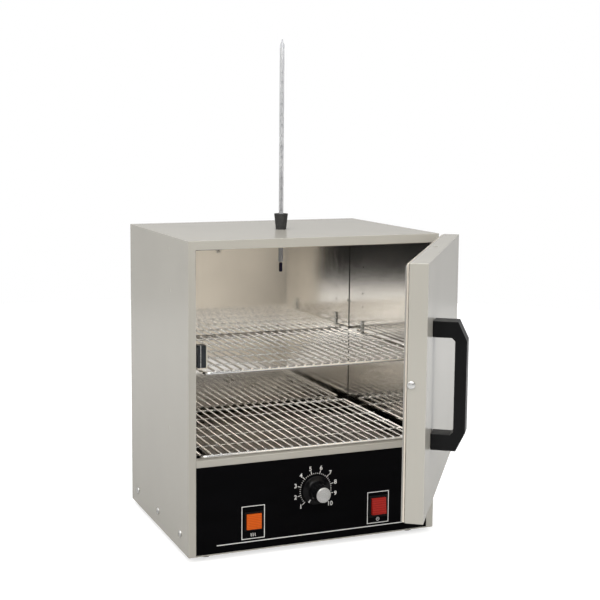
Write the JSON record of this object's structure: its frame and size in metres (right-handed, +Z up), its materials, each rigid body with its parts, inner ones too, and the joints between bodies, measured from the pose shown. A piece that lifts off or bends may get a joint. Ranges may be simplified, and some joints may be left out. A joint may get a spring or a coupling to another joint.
{
  "type": "laboratory incubator",
  "caption": "Bench-top laboratory incubator: insulated metal cabinet with a side-hinged door, wire shelves, a thermostat dial and a thermometer through the roof.",
  "frame": {"origin": "centre of the bottom pan's flat underside; the rubber feet reach 7 mm below it", "axes": "+Z up, -Y out of the front (door and control panel), +X to the viewer's right, towards the door hinge"},
  "size_m": [0.3707, 0.5821, 0.6665],
  "materials": {
    "beige_paint": "semi-gloss warm light grey enamel",
    "black_panel": "satin black",
    "aluminium": "satin mill finish",
    "plated_steel": "zinc plated",
    "chrome_wire": "bright plated wire",
    "black_plastic": "moulded black, slight gloss",
    "black_rubber": "matte, slightly speckled",
    "grey_silicone": "matte",
    "insulation": "glass wool",
    "orange_lens": "translucent orange, ribbed",
    "red_lens": "translucent red",
    "clear_glass": "clear glass",
    "dark_liquid": "dark liquid in thin glass",
    "heater_sheath": "oxidised sheath"
  },
  "bodies": {
    "cabinet": {"back_cover": "beige_paint", "bottom_pan": "beige_paint", "cabinet_shell": "beige_paint", "catch_bracket": "aluminium", "catch_magnet_left": "black_plastic", "catch_magnet_right": "black_plastic", "catch_pole_plate": "plated_steel", "chamber_liner": "aluminium", "control_panel": "black_panel", "cord_gland": "black_plastic", "floor_baffle": "aluminium", "foot_left_front": "black_rubber", "foot_left_rear": "black_rubber", "foot_right_front": "black_rubber", "foot_right_rear": "black_rubber", "heating_element": "heater_sheath", "hinge_leaf_cabinet_lower": "plated_steel", "hinge_leaf_cabinet_upper": "plated_steel", "hinge_pin_lower": "plated_steel", "hinge_pin_upper": "plated_steel", "insulation_back": "insulation", "insulation_floor": "insulation", "insulation_wrap": "insulation", "lamp_housing": "black_plastic", "lamp_lens": "orange_lens", "shelf_clip_left_front": "plated_steel", "shelf_clip_left_rear": "plated_steel", "shelf_clip_right_front": "plated_steel", "shelf_clip_right_rear": "plated_steel", "side_screw_left_front": "plated_steel", "side_screw_left_middle": "plated_steel", "side_screw_left_rear": "plated_steel", "side_screw_right_front": "plated_steel", "side_screw_right_middle": "plated_steel", "side_screw_right_rear": "plated_steel", "sill_rail": "beige_paint", "switch_housing": "black_plastic", "terminal_block": "black_plastic", "thermostat_body": "black_plastic", "thermostat_capillary": "plated_steel"},
    "door": {"door_outer_shell": "beige_paint", "door_inner_panel": "aluminium", "door_insulation": "insulation", "door_gasket": "grey_silicone", "strike_plate": "plated_steel", "door_handle": "black_plastic", "handle_screw_upper": "plated_steel", "handle_screw_lower": "plated_steel", "door_edge_screw": "plated_steel", "hinge_leaf_door_upper": "plated_steel", "hinge_leaf_door_lower": "plated_steel"},
    "temperature_knob": {"dial_knob": "black_plastic", "knob_cap": "aluminium", "thermostat_shaft": "plated_steel"},
    "power_rocker": {"power_rocker": "red_lens"},
    "upper_shelf": {"wire_shelf_upper": "chrome_wire"},
    "lower_shelf": {"wire_shelf_lower": "chrome_wire"},
    "stopper": {"rubber_stopper": "black_rubber"},
    "thermometer": {"thermometer_stem": "clear_glass", "thermometer_bulb": "dark_liquid"}
  },
  "joints": [
    {"name": "door_hinge", "type": "hinge", "parent": "cabinet", "child": "door", "pos_m": [0.18, -0.139, 0.262], "axis": [0, 0, 1], "range_deg": [-54.5, 120.5]},
    {"name": "knob_turn", "type": "hinge", "parent": "cabinet", "child": "temperature_knob", "pos_m": [0, -0.145, 0.0706], "axis": [0, 1, 0], "range_deg": [0, 270]},
    {"name": "rocker_press", "type": "hinge", "parent": "cabinet", "child": "power_rocker", "pos_m": [0.0916, -0.131, 0.0385], "axis": [1, 0, 0], "range_deg": [0, 14]},
    {"name": "upper_shelf_slide", "type": "slide", "parent": "cabinet", "child": "upper_shelf", "axis": [0, -1, 0], "range_m": [0, 0.03]},
    {"name": "lower_shelf_slide", "type": "slide", "parent": "cabinet", "child": "lower_shelf", "axis": [0, -1, 0], "range_m": [0, 0.03]},
    {"name": "stopper_lift", "type": "slide", "parent": "cabinet", "child": "stopper", "axis": [0, 0, 1], "range_m": [0, 0.06]},
    {"name": "thermometer_slide", "type": "slide", "parent": "stopper", "child": "thermometer", "axis": [0, 0, 1], "range_m": [-0.025, 0.04]}
  ]
}
